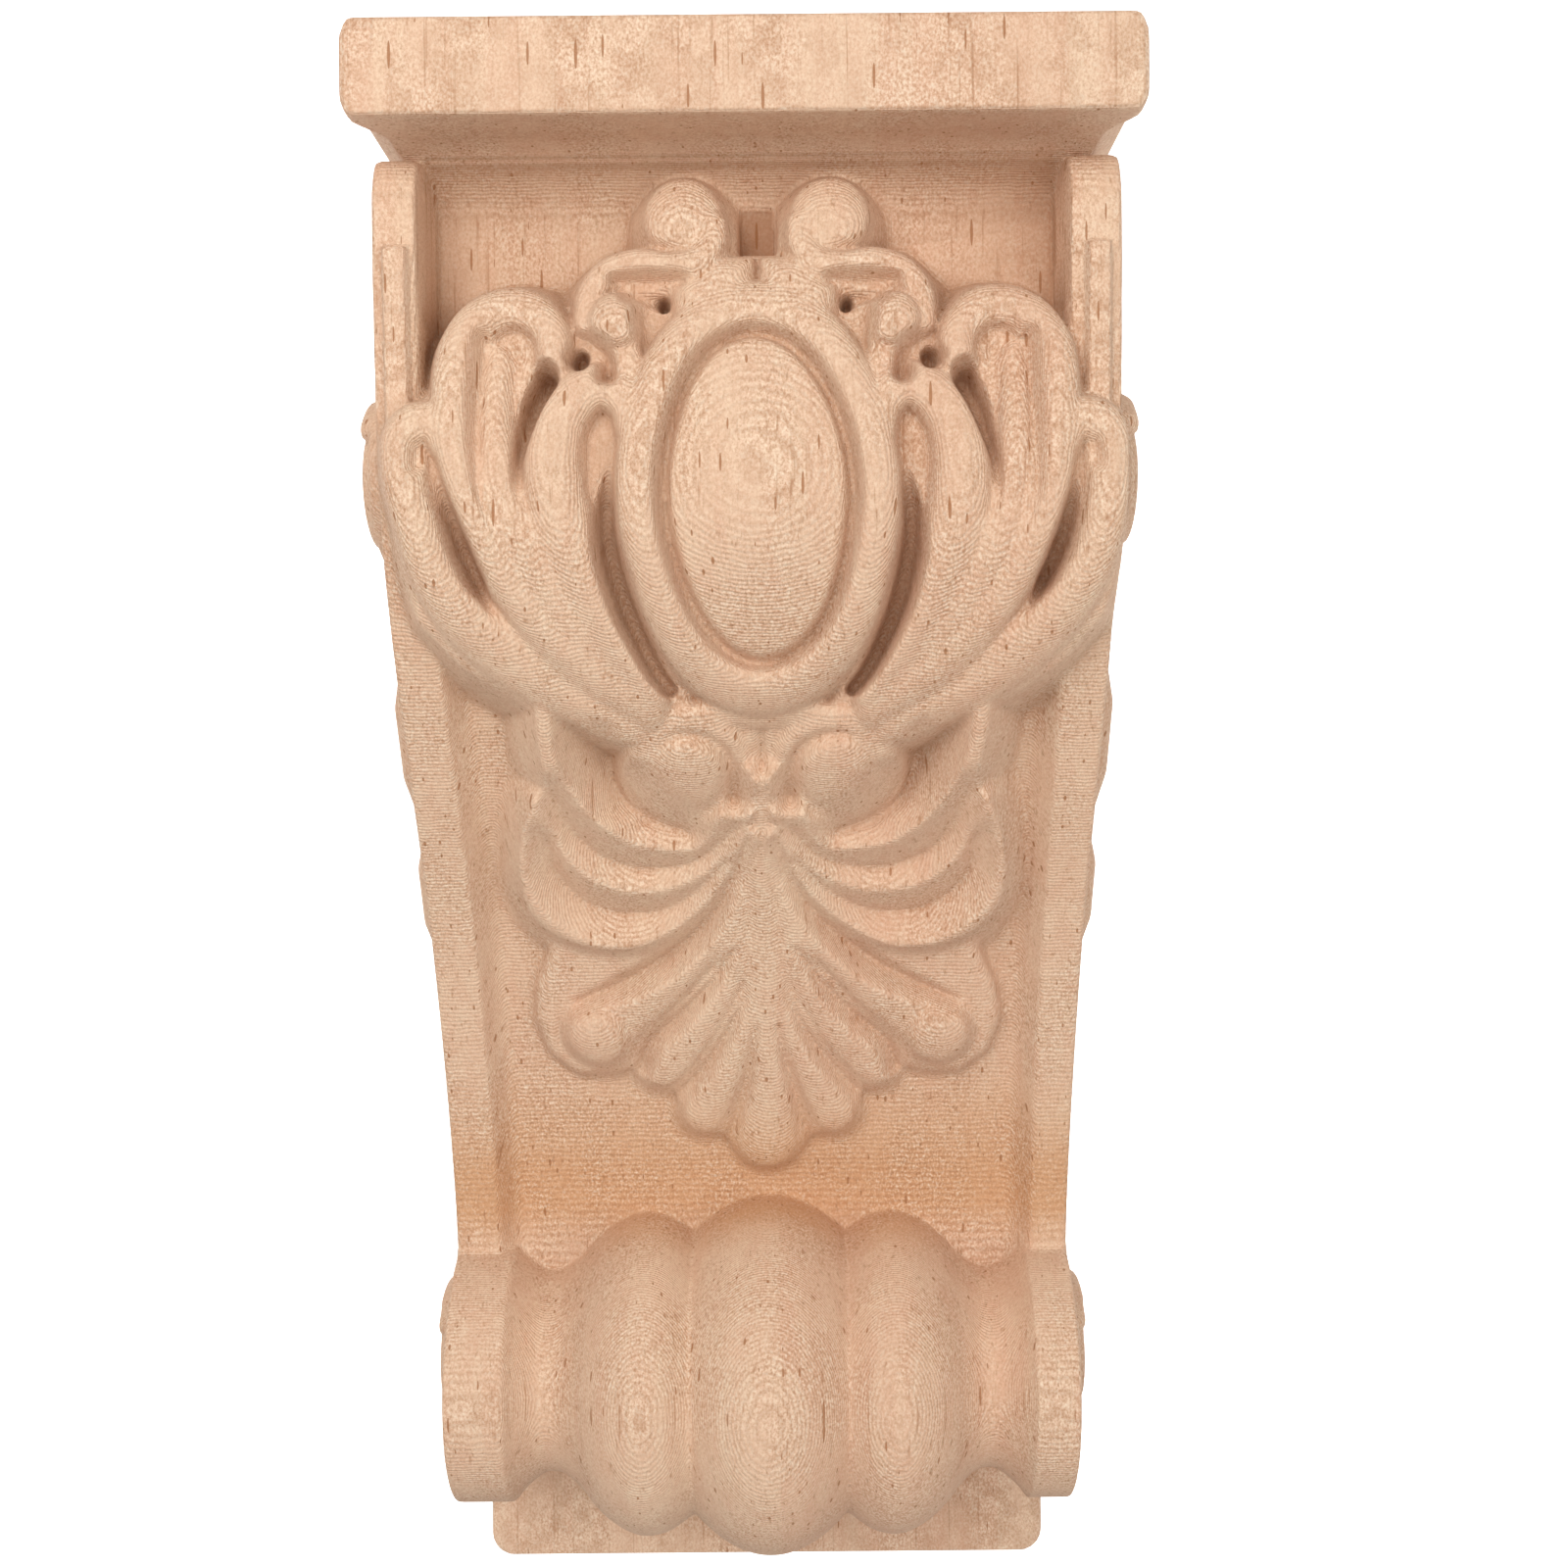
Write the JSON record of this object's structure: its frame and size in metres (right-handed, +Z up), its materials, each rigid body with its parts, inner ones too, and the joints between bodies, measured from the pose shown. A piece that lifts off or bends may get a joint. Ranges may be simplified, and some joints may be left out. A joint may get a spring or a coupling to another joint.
{
  "type": "carved wood corbel",
  "caption": "Carved wooden corbel with a moulded cap, an S-shaped front with an oval cartouche, plumes and a palmette, and a gadrooned roll at the foot; fixes to a wall and carries a shelf",
  "frame": {"origin": "middle of the flat back face, where the corbel meets the wall", "axes": "+Z up to the cap, +Y back into the wall, the carved front faces -Y, +X to the right seen from the front"},
  "size_m": [0.09, 0.0873, 0.2],
  "materials": {
    "raw_wood": "raw, unfinished pale hardwood, matte, with fine cutter lines"
  },
  "bodies": {
    "root": {"corbel": "raw_wood"}
  },
  "joints": []
}
